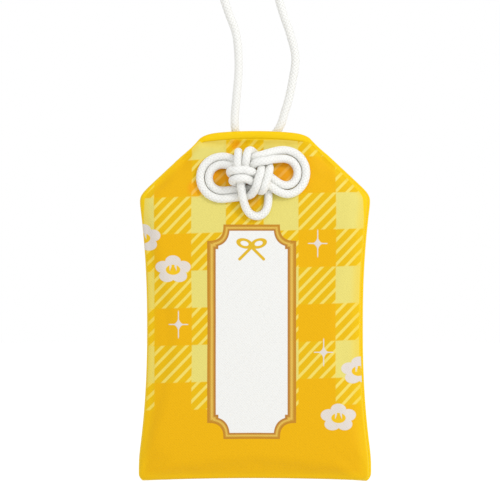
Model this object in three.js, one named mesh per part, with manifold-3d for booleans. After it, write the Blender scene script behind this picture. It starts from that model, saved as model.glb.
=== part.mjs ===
// A brocade charm pouch hanging by its cord, in millimetres, +Z up, its front facing -Y.
// Two padded cloth panels are seamed at the sides and the bottom over a card and a wrapped wooden slip.
// One cord is tied into a knot with doubled ears on the front, passes through both panels near the mouth,
// and rises behind the back rim to an end knot. The origin is the peg's place, inside the cord loop's top.

import * as THREE from "three";
import { mergeVertices } from "three/addons/utils/BufferGeometryUtils.js";
import Module from "manifold-3d";

const wasm = await Module();
wasm.setup();

// Clearances
const pieceGap = 0.3; // between neighbouring pieces
const strandGap = 0.52; // between neighbouring strands of the knots
const cutOverrun = 1.0;

// Pouch outline, heights from the bottom edge
const waistHalfWidth = 23.15;
const waistHeight = 33.0;
const sideFlare = 1.8; // how much wider than the waist the foot and the shoulders are
const sideFlareReach = 28.0; // height from the waist at which that flare is met
const sideFlarePower = 2.3;
const flareSoftness = 0.08; // how softly the flare levels out, as a share of it
const mouthHalfWidth = 10.6;
const mouthCornerHeight = 74.3;
const shoulderRise = 13.4; // height of the sloping shoulders
const mouthCrown = 0.7; // rise of the rim's middle over its corners
const footHollow = 0.5; // rise of the bottom edge's middle over its corners
const footCornerRadius = 1.6;
const shoulderSoftness = 0.6;
const crownReach = 12.0; // height over which the rim's crown fades away

// Cloth
const clothThickness = 0.6;
const padHalfDepth = 3.2;
const sideRoll = 5.0; // width over which the padding rises from a side seam
const footRoll = 6.0;
const mouthTaper = 18.0; // height over which the padding thins towards the mouth
const rollPower = 2.2;
const hemRadius = 0.45; // rounding of each panel's raw edge

// The front panel stops short of the back panel's rolled edge
const frontInsetLeft = 0.35;
const frontInsetRight = 0.8;
const frontRimDrop = 1.8;
const frontFootRise = 0.2;

// Backing papers
const liningThickness = 0.25;
const liningInset = 2.5;
const liningRimDrop = 7.5;

// Card, sleeve and slip
const cardThickness = 0.8;
const cardWidth = 34.0;
const cardFootHeight = 7.5;
const cardHeadDrop = 18.8; // from the mouth's corners down to the card
const cardCornerRadius = 2.0;
const sleevePaper = 0.25;
const slipWidth = 24.0;
const slipShorter = 4.0; // than the card
const slipFootRise = 1.5; // over the card's foot
const slipThickness = 1.2;
const slipPeak = 2.0;
const sleeveOverhang = 1.5;

// Cord
const cordDiameter = 1.75; // hanging free
const knotCordDiameter = 1.5; // drawn tight
const holeDrop = 4.3; // from the mouth's corners down to the cord holes
const holeLeft = -3.55;
const holeRight = -0.2;
const swingRise = 2.0; // of the line over the back rim about which the pouch swings
const swingDepth = 1.1;
const swingLeft = -4.35;
const swingRight = 5.3;
const endKnotRise = 49.7; // over the swing line
const pegDrop = 10.5; // from the end knot down to the peg's place in the loop
const endSpread = 0.35; // how far each strand stands off where it enters the end knot

// Knot on the front
const knotMiddle = -0.65;
const knotDrop = 3.9; // from the holes down to the knot's middle
const knotRounds = 1500;

const shoulderHeight = mouthCornerHeight - shoulderRise;
const holeHeight = mouthCornerHeight - holeDrop;
const swingHeight = mouthCornerHeight + swingRise;
const endKnotHeight = swingHeight + endKnotRise;
const hangHeight = endKnotHeight - pegDrop;
const cardHeight = mouthCornerHeight - cardHeadDrop - cardFootHeight;
const slipHeight = cardHeight - slipShorter;
const slipFootHeight = cardFootHeight + slipFootRise;
const knotHeight = holeHeight - knotDrop;
const knotRadius = knotCordDiameter / 2;
const strandPitch = knotCordDiameter + strandGap;

const TAU = Math.PI * 2;

function clamp01(value) {
  return Math.min(1, Math.max(0, value));
}

function smoothMin(a, b, softness) {
  const low = Math.min(a, b);
  return low - softness * Math.log(Math.exp((low - a) / softness) + Math.exp((low - b) / softness));
}

// Half width of the pouch at a height
function halfWidth(z) {
  const flare = Math.abs((z - waistHeight) / sideFlareReach) ** sideFlarePower;
  const side = waistHalfWidth + sideFlare * smoothMin(flare, 1, flareSoftness);
  const slope = (waistHalfWidth + sideFlare - mouthHalfWidth) / (mouthCornerHeight - shoulderHeight);
  const shoulder = mouthHalfWidth + slope * (mouthCornerHeight - z);
  const corner = Math.max(0, footCornerRadius - z);
  const rounding = footCornerRadius - Math.sqrt(Math.max(0, footCornerRadius ** 2 - corner ** 2));
  return smoothMin(side, shoulder, shoulderSoftness) - rounding;
}

// Share of the full padding at a distance from a seam
function rolled(distance, width) {
  const rest = 1 - clamp01(distance / width);
  return (1 - rest ** rollPower) ** (1 / rollPower);
}

function eased(distance, width) {
  const share = clamp01(distance / width);
  return share * share * (3 - 2 * share);
}

// One cloth layer's plan: how far it stops short of the pouch's outline
function layerPlan(insetLeft, insetRight, rimDrop, footRise) {
  return { insetLeft, insetRight, rimDrop, footRise };
}

const frontPlan = layerPlan(frontInsetLeft, frontInsetRight, frontRimDrop, frontFootRise);
const backPlan = layerPlan(0, 0, 0, 0);

function edgeAt(plan, x, z) {
  return halfWidth(z) - (x < 0 ? plan.insetLeft : plan.insetRight);
}

// Height of the rim and of the foot at a place across the layer, as the crown and hollow bend them
function bentHeight(plan, across, level) {
  const middle = 1 - across * across;
  const rim = mouthCornerHeight - plan.rimDrop;
  const nearRim = clamp01((level - (rim - crownReach)) / crownReach);
  const nearFoot = clamp01((crownReach - (level - plan.footRise)) / crownReach);
  return level + middle * (mouthCrown * nearRim + footHollow * nearFoot);
}

// Distance of a panel's outer face from the seam plane
function outerDepth(plan, x, z) {
  const edge = Math.max(0, edgeAt(plan, x, z) - Math.abs(x));
  const across = clamp01(Math.abs(x) / edgeAt(plan, x, z));
  const rim = bentHeight(plan, across, mouthCornerHeight - plan.rimDrop);
  const foot = bentHeight(plan, across, plan.footRise);
  const swell = rolled(edge, sideRoll) * eased(rim - z, mouthTaper) * rolled(z - foot, footRoll);
  const nearest = Math.min(edge, Math.max(0, rim - z), Math.max(0, z - foot));
  const hem = hemRadius * (1 - rolled(nearest, hemRadius));
  return pieceGap / 2 + clothThickness - hem + (padHalfDepth - pieceGap / 2 - clothThickness) * swell;
}

const crowding = 1.8; // how strongly a layer's columns crowd towards its edges

// A closed cloth layer: a grid of columns and rows crowded towards its edges, with two faces
function clothLayer(plan, padding, side, under, thickness, { columns, rows }) {
  const positions = [];
  const index = [];
  const rim = mouthCornerHeight - plan.rimDrop;
  for (let face = 0; face < 2; face += 1) {
    for (let row = 0; row <= rows; row += 1) {
      const level = plan.footRise + ((rim - plan.footRise) * (1 - Math.cos((Math.PI * row) / rows))) / 2;
      for (let column = 0; column <= columns; column += 1) {
        const reach = (2 * column) / columns - 1;
        const across = Math.sign(reach) * (1 - (1 - Math.abs(reach)) ** crowding);
        const z = bentHeight(plan, across, level);
        const x = across * edgeAt(plan, across, level);
        const outer = outerDepth(padding, x, z) - under;
        const inner = Math.max(pieceGap / 2, outer - thickness);
        positions.push(x, side * (face === 0 ? Math.max(outer, inner + thickness / 2) : inner), z);
      }
    }
  }
  const width = columns + 1;
  const back = width * (rows + 1);
  function quad(a, b, c, d) {
    index.push(a, b, c, a, c, d);
  }
  for (let row = 0; row < rows; row += 1) {
    for (let column = 0; column < columns; column += 1) {
      const a = row * width + column;
      quad(a, a + 1, a + width + 1, a + width);
      quad(back + a, back + a + width, back + a + width + 1, back + a + 1);
    }
  }
  for (let column = 0; column < columns; column += 1) {
    const top = rows * width + column;
    quad(column, back + column, back + column + 1, column + 1);
    quad(top, top + 1, back + top + 1, back + top);
  }
  for (let row = 0; row < rows; row += 1) {
    const left = row * width;
    const right = left + columns;
    quad(left, left + width, back + left + width, back + left);
    quad(right, back + right, back + right + width, right + width);
  }
  if (side > 0) {
    for (let corner = 0; corner < index.length; corner += 3) {
      [index[corner + 1], index[corner + 2]] = [index[corner + 2], index[corner + 1]];
    }
  }
  const geometry = new THREE.BufferGeometry();
  geometry.setAttribute("position", new THREE.Float32BufferAttribute(positions, 3));
  geometry.setIndex(index);
  return geometry;
}

function solidOf(geometry) {
  const bare = geometry.clone();
  bare.deleteAttribute("normal");
  bare.deleteAttribute("uv");
  const merged = mergeVertices(bare, cordDiameter * 1e-5);
  const vertProperties = Float32Array.from(merged.attributes.position.array);
  const triVerts = Uint32Array.from(merged.index.array);
  return new wasm.Manifold(new wasm.Mesh({ numProp: 3, vertProperties, triVerts }));
}

function geometryOf(solid) {
  const mesh = solid.getMesh();
  const geometry = new THREE.BufferGeometry();
  geometry.setAttribute("position", new THREE.Float32BufferAttribute(mesh.vertProperties, 3));
  geometry.setIndex(Array.from(mesh.triVerts));
  return geometry;
}

function place(x, y, z) {
  return new THREE.Vector3(x, y, z);
}

// A cord of round section along a route
function tube(route, radius, steps, sides) {
  const path = new THREE.CatmullRomCurve3(route, false, "centripetal");
  path.arcLengthDivisions = steps * 8;
  const ring = new THREE.Shape();
  for (let side = 0; side < sides; side += 1) {
    const angle = (TAU * side) / sides;
    const [across, along] = [radius * Math.cos(angle), radius * Math.sin(angle)];
    side === 0 ? ring.moveTo(across, along) : ring.lineTo(across, along);
  }
  return new THREE.ExtrudeGeometry(ring, { steps, extrudePath: path, bevelEnabled: false });
}

// A tied cord, with three rings to each four of the points that drew it tight
function tiedTube(points) {
  return tube(points, knotRadius, Math.round(points.length * 0.75), 8);
}

// Rounds a cord's end off with a ball, so that the cord can turn about that point
function withBall(geometry, centre, radius) {
  const ball = new THREE.SphereGeometry(radius, 12, 8);
  ball.rotateZ(TAU / 24);
  ball.translate(centre.x, centre.y, centre.z);
  return geometryOf(solidOf(geometry).add(solidOf(ball)));
}

// Draws a tied cord together: strands keep a pitch from each other, bends even out, each point stays near
// the place that it was given, and no strand sinks into what lies behind it
function drawTight(routes, pitch, restsOn, rounds) {
  const points = [];
  routes.forEach((route, number) => {
    const curve = new THREE.CatmullRomCurve3(route, false, "centripetal");
    curve.arcLengthDivisions = route.length * 20;
    const count = Math.round(curve.getLength() / (pitch * 0.4));
    curve.getSpacedPoints(count).forEach((point, order) => {
      const fixed = order < 2 || order > count - 2;
      points.push({ number, order, fixed, at: point.clone(), home: point.clone(), move: place(0, 0, 0) });
    });
  });
  const apart = Math.round(1.7 / 0.4);
  const away = place(0, 0, 0);
  for (let round = 0; round < rounds; round += 1) {
    const settling = round > rounds * 0.6;
    const smoothing = settling ? 0.008 : 0.22;
    const homing = settling ? 0 : 0.05;
    const parting = settling ? 0.4 : 0.22;
    points.forEach((point, i) => {
      point.move.set(0, 0, 0);
      if (point.fixed) {
        return;
      }
      const [before, after] = [points[i - 1].at, points[i + 1].at];
      point.move.x += smoothing * ((before.x + after.x) / 2 - point.at.x);
      point.move.y += smoothing * ((before.y + after.y) / 2 - point.at.y);
      point.move.z += smoothing * ((before.z + after.z) / 2 - point.at.z);
      point.move.x += homing * (point.home.x - point.at.x);
      point.move.y += (homing / 6) * (point.home.y - point.at.y);
      point.move.z += homing * (point.home.z - point.at.z);
    });
    for (let i = 0; i < points.length; i += 1) {
      for (let j = i + 1; j < points.length; j += 1) {
        const [a, b] = [points[i], points[j]];
        if (a.number === b.number && b.order - a.order < apart) {
          continue;
        }
        away.subVectors(a.at, b.at);
        const distance = away.length();
        if (distance < pitch) {
          away.multiplyScalar((parting * (pitch - distance)) / distance);
          a.fixed || a.move.add(away);
          b.fixed || b.move.sub(away);
        }
      }
    }
    points.forEach((point) => {
      point.at.add(point.move);
      const limit = restsOn(point.at.x, point.at.z);
      if (!point.fixed && point.at.y > limit) {
        point.at.y = limit;
      }
    });
  }
  const strandOf = (number) => points.filter((point) => point.number === number);
  return routes.map((route, number) => strandOf(number).map((point) => point.at));
}

// Least distance between the middles of strands that aren't neighbours along the cord
function leastSpacing(routes, pitch) {
  const points = [];
  routes.forEach((route, number) => {
    const curve = new THREE.CatmullRomCurve3(route, false, "centripetal");
    curve.arcLengthDivisions = route.length * 8;
    const count = route.length * 2;
    const step = curve.getLength() / count;
    curve.getSpacedPoints(count).forEach((at, order) => points.push({ number, along: order * step, at }));
  });
  let least = Infinity;
  for (let i = 0; i < points.length; i += 1) {
    for (let j = i + 1; j < points.length; j += 1) {
      const [a, b] = [points[i], points[j]];
      if (a.number === b.number && b.along - a.along < pitch * 1.6) {
        continue;
      }
      least = Math.min(least, a.at.distanceTo(b.at));
    }
  }
  return least;
}

// Knot on the front. Each place is given in strand pitches: across, up, and layers out from the cloth.
const knotAxisDepth = -(outerDepth(frontPlan, 0, holeHeight) + pieceGap + knotRadius);

const leftEar = {
  middleShares: [-3.2, -0.62],
  innerShares: [1.66, 1.64],
  outerShares: [2.48, 2.44],
  angles: [262, 225, 195, 165, 135, 105, 75],
};
const rightEar = {
  middleShares: [3.45, -0.07],
  innerShares: [1.64, 1.7],
  outerShares: [2.46, 2.52],
  angles: [95, 65, 35, 5, -25, -55, -85],
};

// Points of an ear that lies flat on the cloth, at its angles round its middle
function earPlaces({ middleShares, angles }, sizeShares) {
  return angles.map((angle) => {
    const turn = (angle * Math.PI) / 180;
    const across = middleShares[0] + sizeShares[0] * Math.cos(turn);
    return [across, middleShares[1] + sizeShares[1] * Math.sin(turn), 0];
  });
}

const lowerLoopShares = [
  [-1.55, 1.8, 2.2], [-1.7, 1.0, 2.2], [-1.75, 0.2, 1.5], [-1.75, -0.7, 1.4], [-1.6, -1.5, 1.4],
  [-1.1, -2.3, 1.0], [-0.85, -3.2, 0.3], [-0.8, -4.0, 0], [-0.2, -4.7, 0], [0.7, -4.95, 0],
  [1.5, -4.5, 0], [1.9, -3.6, 0], [2.0, -2.9, 0],
];
const rightStrokeShares = [
  [2.0, -2.1, 0], [2.0, -1.2, 0], [2.0, 0, 0], [2.0, 0.9, 0], [1.95, 1.5, 0.3], [1.8, 1.4, 1.0],
  [1.7, 0.7, 1.3], [1.7, -0.2, 2.2], [1.65, -1.1, 2.2], [1.5, -2.0, 1.6], [1.3, -2.2, 0.8], [0.6, -1.8, 0.1],
];
const innerEarShares = [
  [-0.4, -1.7, 0], [-1.4, -1.8, 0], ...earPlaces(leftEar, leftEar.innerShares), [-2.3, 0.6, 0.6],
];
const innerTopShares = [
  [-1.7, 0.3, 1.0], [-0.7, 0.3, 1.0], [0.1, 0.45, 1.6], [0.8, 0.75, 2.4], [1.7, 1.05, 2.2],
  [2.5, 1.35, 0.9],
  ...earPlaces(rightEar, rightEar.innerShares),
];
const upperCrossShares = [
  [2.5, -0.9, 0.6], [1.7, -0.35, 1.2], [0.7, -0.1, 1.2], [-0.1, 0.2, 2.0], [-0.8, 0.25, 2.5],
  [-1.6, 0.25, 2.5], [-2.3, 0.2, 1.7], [-2.4, 0.2, 0.7], [-1.9, 0.45, 0],
];
const leftStrokeShares = [
  [-1.0, 1.0, 0], [0, 1.4, 0], [0.55, 1.9, 0.2], [0.7, 1.8, 0.9], [0.68, 0.8, 1.3], [0.7, -0.2, 2.2],
  [0.68, -1.1, 2.2], [0.6, -2.0, 1.6], [0.3, -2.6, 0.8], [-0.2, -2.6, 0.1],
];
const outerEarShares = [
  [-1.2, -2.6, 0], [-2.1, -2.7, 0], ...earPlaces(leftEar, leftEar.outerShares), [-2.4, 1.5, 0.6],
];
const outerTopShares = [
  [-1.7, 1.25, 1.0], [-0.7, 1.25, 1.0], [0.1, 1.4, 1.6], [0.8, 1.7, 2.4], [1.7, 2.05, 2.2], [2.5, 2.3, 0.9],
  ...earPlaces(rightEar, rightEar.outerShares),
];
const lowerCrossShares = [
  [2.5, -1.8, 0.6], [1.7, -1.25, 1.2], [0.7, -1.0, 1.2], [-0.1, -0.78, 2.0], [-0.8, -0.75, 2.5],
  [-1.6, -0.75, 2.5], [-2.3, -0.85, 1.7], [-2.3, -1.15, 0.9], [-1.6, -1.6, 0.7], [-1.0, -1.6, 0.8],
];
const lastStrokeShares = [[-0.75, -0.95, 1.2], [-0.75, 0.1, 1.4], [-0.68, 1.05, 2.2], [-0.33, 1.8, 2.2]];

function knotPlace([across, up, layer]) {
  const x = knotMiddle + across * strandPitch;
  const z = knotHeight + up * strandPitch;
  return place(x, clothLimit(x, z) - layer * strandPitch, z);
}

function clothLimit(x, z) {
  return -(outerDepth(frontPlan, x, z) + pieceGap + knotRadius);
}

const holeEntryShares = { out: 0.9, up: 0.1 }; // in strand pitches

function intoHole(x) {
  const out = knotAxisDepth - strandPitch * holeEntryShares.out;
  const up = holeHeight + strandPitch * holeEntryShares.up;
  return [place(x, out, up), place(x, knotAxisDepth, holeHeight)];
}

const strokesShares = [
  lowerLoopShares,
  rightStrokeShares,
  innerEarShares,
  innerTopShares,
  upperCrossShares,
  leftStrokeShares,
  outerEarShares,
  outerTopShares,
  lowerCrossShares,
  lastStrokeShares,
];
const knotRoute = [
  ...intoHole(holeLeft).reverse(),
  ...strokesShares.flat().map(knotPlace),
  ...intoHole(holeRight),
];

const [tightKnot] = drawTight([knotRoute], strandPitch, clothLimit, knotRounds);
const knotGap = leastSpacing([tightKnot], strandPitch) - knotCordDiameter;
console.log("front knot, least gap of the cord to itself:", knotGap.toFixed(3));

// End knot: both strands run side by side through one overhand knot. Each place is given in doubled strand
// pitches across and up, and in strand pitches towards the back.
const overhandShares = [
  [0, -1.9, 0], [0, -1.5, 0], [0, -1.1, -0.8], [0, -0.7, -1.2], [0, -0.2, 0], [0, 0.3, 1.2],
  [0.25, 0.9, 0.6], [0.8, 1.25, -1.0], [1.3, 0.8, -0.6], [1.35, 0.1, 0], [1.1, -0.5, 0.6],
  [0.6, -0.8, 1.0], [0, -0.8, 1.2], [-0.65, -0.65, 0.6], [-0.95, -0.1, 0], [-0.65, 0.35, -0.8],
  [0, 0.4, -1.2], [0.5, 0.65, 0], [0.75, 1.15, 1.2], [0.7, 1.9, 0.5], [0.4, 2.6, 0], [0.2, 3.2, 0],
];

function endStrand(side) {
  return overhandShares.map(([across, up, back], order) => {
    const before = overhandShares[Math.max(0, order - 1)];
    const after = overhandShares[Math.min(overhandShares.length - 1, order + 1)];
    const run = Math.hypot(after[0] - before[0], after[1] - before[1]);
    const sideways = (side * (after[1] - before[1])) / run / 4;
    const upwards = (-side * (after[0] - before[0])) / run / 4;
    const spread = order === 0 ? side * endSpread : 0;
    return place(
      (across + sideways) * 2 * strandPitch + spread,
      swingDepth + back * strandPitch,
      endKnotHeight + (up + upwards) * 2 * strandPitch,
    );
  });
}

const endKnots = drawTight([endStrand(-1), endStrand(1)], strandPitch, () => Infinity, knotRounds);
const endGap = leastSpacing(endKnots, strandPitch) - knotCordDiameter;
console.log("end knot, least gap between its strands:", endGap.toFixed(3));

// Free strands of the hanging loop, from over the back rim to the end knot. Their places are in
// millimetres: across, and up from the swing line.
const looseRadius = cordDiameter / 2;
const strandFoot = swingHeight + knotRadius + pieceGap;
const leftLoopRoute = [
  [-4.25, 3.3], [-4.0, 5.9], [-3.5, 12.9], [-4.1, 19.8], [-5.8, 24.5], [-6.9, 28.7], [-6.2, 33.7],
  [-3.8, 38.2],
];
const rightLoopRoute = [
  [6.4, 3.3], [6.9, 4.6], [8.05, 9.4], [8.7, 14.6], [7.5, 19.8], [5.9, 24.5], [4.8, 28.7], [4.3, 33.7],
  [3.0, 38.2],
];

function loopStrand(foot, route, knotted) {
  const end = knotted[0];
  const points = route.map(([x, rise]) => place(x, swingDepth, swingHeight + rise));
  return [place(foot, swingDepth, strandFoot), ...points, place(end.x, end.y, end.z - pieceGap)];
}

// The cord between its knot and the swing line: straight through both panels, then up the back
const passRiseShares = [0.06, 0.3, 0.62];
const passLeanShares = [0.02, 0.2, 0.55];
const passTuckShares = [0.5, 0, 0]; // how much nearer the back panel the first bend lies, in cord radii

function passRoute(hole, top) {
  const behind = (z) => outerDepth(backPlan, hole, z) + pieceGap + knotRadius;
  const rise = swingHeight - holeHeight;
  const up = passRiseShares.map((share, order) => {
    const x = hole + (top - hole) * passLeanShares[order];
    const z = holeHeight + rise * share;
    return place(x, behind(z) - knotRadius * passTuckShares[order], z);
  });
  const start = place(hole, knotAxisDepth + knotRadius + pieceGap, holeHeight);
  return [start, place(hole, 0, holeHeight), ...up, place(top, swingDepth, swingHeight)];
}

const passes = {
  left: passRoute(holeLeft, swingLeft),
  right: passRoute(holeRight, swingRight),
};

function pierced(layer) {
  const holes = Object.values(passes).map((route) => {
    const outward = place(route[0].x, route[0].y - cutOverrun, route[0].z);
    return solidOf(tube([outward, ...route], knotRadius + pieceGap, 30, 12));
  });
  return geometryOf(holes.reduce((cloth, hole) => cloth.subtract(hole), solidOf(layer)));
}

// Flat pieces inside, stacked from the front: lining, card, sleeve round the slip, lining
const liningUnder = clothThickness + pieceGap;
const cardFace = -(padHalfDepth - liningUnder - liningThickness - pieceGap);
const sleeveFace = cardFace + cardThickness + pieceGap;
const slipFace = sleeveFace + sleevePaper + pieceGap;

function cardPlate() {
  const shape = new THREE.Shape();
  const corner = cardCornerRadius;
  const side = cardWidth / 2 - corner;
  const top = cardHeight - corner;
  shape.moveTo(side, 0);
  shape.absarc(side, corner, corner, -Math.PI / 2, 0, false);
  shape.absarc(side, top, corner, 0, Math.PI / 2, false);
  shape.absarc(-side, top, corner, Math.PI / 2, Math.PI, false);
  shape.absarc(-side, corner, corner, Math.PI, Math.PI * 1.5, false);
  const options = { depth: cardThickness, bevelEnabled: false, curveSegments: 4 };
  const plate = new THREE.ExtrudeGeometry(shape, options);
  plate.rotateX(Math.PI / 2);
  return plate.translate(0, cardFace + cardThickness, cardFootHeight);
}

// Slip with the shallow peaked top of a wooden tablet
function slipPlate() {
  const shape = new THREE.Shape();
  const side = slipWidth / 2;
  shape.moveTo(-side, 0);
  shape.lineTo(side, 0);
  shape.lineTo(side, slipHeight - slipPeak);
  shape.lineTo(0, slipHeight);
  shape.lineTo(-side, slipHeight - slipPeak);
  const plate = new THREE.ExtrudeGeometry(shape, { depth: slipThickness, bevelEnabled: false });
  plate.rotateX(Math.PI / 2);
  return plate.translate(0, slipFace + slipThickness, slipFootHeight);
}

// Sleeve open above and below
function sleeve() {
  const outline = (reach) => {
    const side = slipWidth / 2 + pieceGap + reach;
    const near = slipFace - pieceGap - reach;
    const far = slipFace + slipThickness + pieceGap + reach;
    const corners = [[-side, near], [side, near], [side, far], [-side, far]];
    return corners.map(([x, y]) => new THREE.Vector2(x, y));
  };
  const shape = new THREE.Shape(outline(sleevePaper));
  shape.holes.push(new THREE.Path(outline(0)));
  const depth = slipHeight + sleeveOverhang * 2;
  const folded = new THREE.ExtrudeGeometry(shape, { depth, bevelEnabled: false });
  return folded.translate(0, 0, slipFootHeight - sleeveOverhang);
}

const group = new THREE.Group();

function material(colour, roughness) {
  return new THREE.MeshStandardMaterial({ color: colour, roughness, metalness: 0 });
}

function add(name, geometry, look) {
  const mesh = new THREE.Mesh(geometry, look);
  mesh.name = name;
  mesh.position.set(0, -swingDepth, -hangHeight);
  group.add(mesh);
}

const brocade = material(0xf0b516, 0.6);
const whiteCord = material(0xf2efe8, 0.55);
const backingPaper = material(0xe9e2cf, 0.9);
const card = material(0xcfc4ab, 0.9);
const whitePaper = material(0xf6f4ee, 0.85);
const paleWood = material(0xdcb985, 0.7);

const clothGrid = { columns: 20, rows: 26 };
add("front_panel", pierced(clothLayer(frontPlan, frontPlan, -1, 0, clothThickness, clothGrid)), brocade);
add("back_panel", pierced(clothLayer(backPlan, backPlan, 1, 0, clothThickness, clothGrid)), brocade);

const liningPlan = layerPlan(liningInset, liningInset, liningRimDrop, liningInset);
const paperGrid = { columns: 12, rows: 14 };
function lining(padding, side) {
  return clothLayer(liningPlan, padding, side, liningUnder, liningThickness, paperGrid);
}

add("front_lining", lining(frontPlan, -1), backingPaper);
add("back_lining", lining(backPlan, 1), backingPaper);

add("stiffener_card", cardPlate(), card);
add("paper_wrapper", sleeve(), whitePaper);
add("prayer_tablet", slipPlate(), paleWood);

let knot = tiedTube(tightKnot);
knot = withBall(knot, tightKnot[0], knotRadius);
knot = withBall(knot, tightKnot[tightKnot.length - 1], knotRadius);
add("decorative_knot", knot, whiteCord);

for (const [side, route] of Object.entries(passes)) {
  const pass = tube(route, knotRadius, 14, 8);
  add(`cord_pass_${side}`, withBall(pass, route[route.length - 1], knotRadius), whiteCord);
}

const leftStrand = loopStrand(swingLeft, leftLoopRoute, endKnots[0]);
const rightStrand = loopStrand(swingRight, rightLoopRoute, endKnots[1]);
add("loop_strand_left", tube(leftStrand, looseRadius, 20, 8), whiteCord);
add("loop_strand_right", tube(rightStrand, looseRadius, 20, 8), whiteCord);
add("end_knot_left", tiedTube(endKnots[0]), whiteCord);
add("end_knot_right", tiedTube(endKnots[1]), whiteCord);

export default group;
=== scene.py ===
import math
import bpy
import bmesh
import numpy as np
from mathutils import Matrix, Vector


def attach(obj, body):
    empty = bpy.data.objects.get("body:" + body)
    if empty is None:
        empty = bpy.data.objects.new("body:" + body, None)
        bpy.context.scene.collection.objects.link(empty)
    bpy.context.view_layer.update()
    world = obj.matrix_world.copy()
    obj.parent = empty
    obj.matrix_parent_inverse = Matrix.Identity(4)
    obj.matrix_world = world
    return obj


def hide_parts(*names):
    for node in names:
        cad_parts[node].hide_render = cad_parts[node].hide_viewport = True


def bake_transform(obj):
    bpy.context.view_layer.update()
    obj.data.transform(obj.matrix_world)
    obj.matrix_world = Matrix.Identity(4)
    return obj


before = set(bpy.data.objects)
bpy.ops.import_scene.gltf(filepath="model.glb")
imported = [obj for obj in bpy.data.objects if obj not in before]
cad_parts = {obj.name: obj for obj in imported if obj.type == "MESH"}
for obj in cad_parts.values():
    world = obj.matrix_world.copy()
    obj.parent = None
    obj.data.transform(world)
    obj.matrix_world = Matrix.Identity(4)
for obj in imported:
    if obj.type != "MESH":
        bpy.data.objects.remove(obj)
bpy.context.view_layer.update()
print("frame loaded")

# Places below are in millimetres, and heights count from the pouch's bottom edge. The frame's origin is
# the peg's place in the cord loop, and the pouch's seam plane lies a little in front of the loop.
hangHeight = 115.5
seamDepth = -1.1


def toFrame(points):
    return (np.asarray(points, float) + np.array([0.0, seamDepth, -hangHeight])) * 0.001


def addObject(name, data):
    thing = bpy.data.objects.new(name, data)
    bpy.context.scene.collection.objects.link(thing)
    return thing


# the camera is level with the pouch, and its picture is this wide at the seam plane
view = {"middle": -1.07, "height": 49.46, "width": 107.3, "distance": 400.0, "sensor": 36.0}


def makeCamera():
    data = bpy.data.cameras.new("camera")
    data.sensor_width = view["sensor"]
    data.lens = view["sensor"] * view["distance"] / view["width"]
    data.clip_start = 0.01
    camera = addObject("camera", data)
    camera.location = toFrame([view["middle"], -view["distance"], view["height"]])
    camera.rotation_euler = (math.radians(90), 0, 0)
    bpy.context.scene.camera = camera


makeCamera()

# the pouch's outline and padding, as its panels are cut
pouch = {
    "waistHalfWidth": 23.15, "waistHeight": 33.0,
    "sideFlare": 1.8, "flareReach": 28.0, "flarePower": 2.3, "flareSoftness": 0.08,
    "shoulderHeight": 60.9, "shoulderSoftness": 0.6,
    "mouthHalfWidth": 10.6, "mouthCornerHeight": 74.3, "mouthCrown": 0.7, "crownReach": 12.0,
    "footHollow": 0.5, "footCorner": 1.6,
    "cloth": 0.6, "seamGap": 0.3, "hem": 0.45,
    "padHalfDepth": 3.2, "sideRoll": 5.0, "footRoll": 6.0, "mouthTaper": 18.0, "rollPower": 2.2,
}
# how far each solid panel stays inside that outline
frontPlan = {"left": 0.35, "right": 0.8, "rimDrop": 1.8, "footRise": 0.2}
backPlan = {"left": 0.0, "right": 0.0, "rimDrop": 0.0, "footRise": 0.0}


def clamp01(value):
    return np.clip(value, 0.0, 1.0)


def softLower(a, b, soft):
    low = np.minimum(a, b)
    return low - soft * np.log(np.exp((low - a) / soft) + np.exp((low - b) / soft))


def halfWidth(z):
    p = pouch
    flare = np.abs((z - p["waistHeight"]) / p["flareReach"]) ** p["flarePower"]
    side = p["waistHalfWidth"] + p["sideFlare"] * softLower(flare, 1.0, p["flareSoftness"])
    foot = p["waistHalfWidth"] + p["sideFlare"] - p["mouthHalfWidth"]
    slope = foot / (p["mouthCornerHeight"] - p["shoulderHeight"])
    shoulder = p["mouthHalfWidth"] + slope * (p["mouthCornerHeight"] - z)
    corner = np.maximum(0.0, p["footCorner"] - z)
    rounding = p["footCorner"] - np.sqrt(np.maximum(0.0, p["footCorner"] ** 2 - corner ** 2))
    return softLower(side, shoulder, p["shoulderSoftness"]) - rounding


def rolled(distance, width):
    rest = 1.0 - clamp01(distance / width)
    return np.maximum(0.0, 1.0 - rest ** pouch["rollPower"]) ** (1.0 / pouch["rollPower"])


def eased(distance, width):
    share = clamp01(distance / width)
    return share * share * (3.0 - 2.0 * share)


def edgeAt(plan, x, z):
    return halfWidth(z) - np.where(x < 0, plan["left"], plan["right"])


def rimLevel(plan):
    return pouch["mouthCornerHeight"] - plan["rimDrop"]


def bentHeight(plan, across, level):  # the rim is crowned and the foot a little hollow
    reach = pouch["crownReach"]
    nearRim = clamp01((level - (rimLevel(plan) - reach)) / reach)
    nearFoot = clamp01((reach - (level - plan["footRise"])) / reach)
    bend = pouch["mouthCrown"] * nearRim + pouch["footHollow"] * nearFoot
    return level + (1.0 - across * across) * bend


def outerDepth(plan, x, z):  # how far the padded face stands from the seam plane
    edge = np.maximum(0.0, edgeAt(plan, x, z) - np.abs(x))
    across = clamp01(np.abs(x) / edgeAt(plan, x, z))
    rim = bentHeight(plan, across, rimLevel(plan))
    foot = bentHeight(plan, across, plan["footRise"])
    swell = rolled(edge, pouch["sideRoll"]) * eased(rim - z, pouch["mouthTaper"])
    swell = swell * rolled(z - foot, pouch["footRoll"])
    nearest = np.minimum(edge, np.minimum(np.maximum(0.0, rim - z), np.maximum(0.0, z - foot)))
    hem = plan.get("hem", pouch["hem"]) * (1.0 - rolled(nearest, pouch["hem"]))
    thin = pouch["seamGap"] / 2 + pouch["cloth"]
    return thin - hem + (pouch["padHalfDepth"] - thin) * swell


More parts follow.
